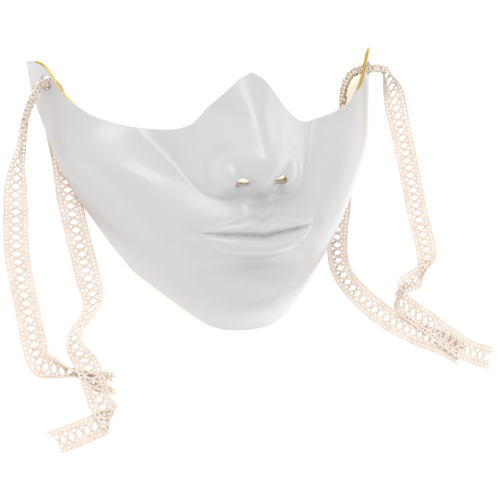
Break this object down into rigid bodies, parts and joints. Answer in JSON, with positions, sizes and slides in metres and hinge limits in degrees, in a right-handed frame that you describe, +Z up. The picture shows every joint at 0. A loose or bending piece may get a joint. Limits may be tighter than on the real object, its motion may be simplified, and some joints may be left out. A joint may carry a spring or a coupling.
{
  "type": "half face costume mask",
  "caption": "Thin moulded half-face costume mask over nose, cheeks, mouth and chin, gilded inside, with lace tie ribbons threaded through holes at the wing tips.",
  "frame": {"origin": "centre of the bottom of the box around the mask, without its ribbons, where it lies on its back on the floor", "axes": "+Z up, out of the face; +Y towards the wing tips; -Y towards the chin; +X across the mask"},
  "size_m": [0.2237, 0.17, 0.0684],
  "materials": {
    "white_shell": "semi-gloss moulded white plastic",
    "gold_paint": "satin gold paint coat",
    "lace": "pale peach openwork cotton lace"
  },
  "bodies": {
    "root": {"mask_shell": "white_shell", "gold_lining": "gold_paint", "ribbon_left": "lace", "ribbon_right": "lace"}
  },
  "joints": []
}
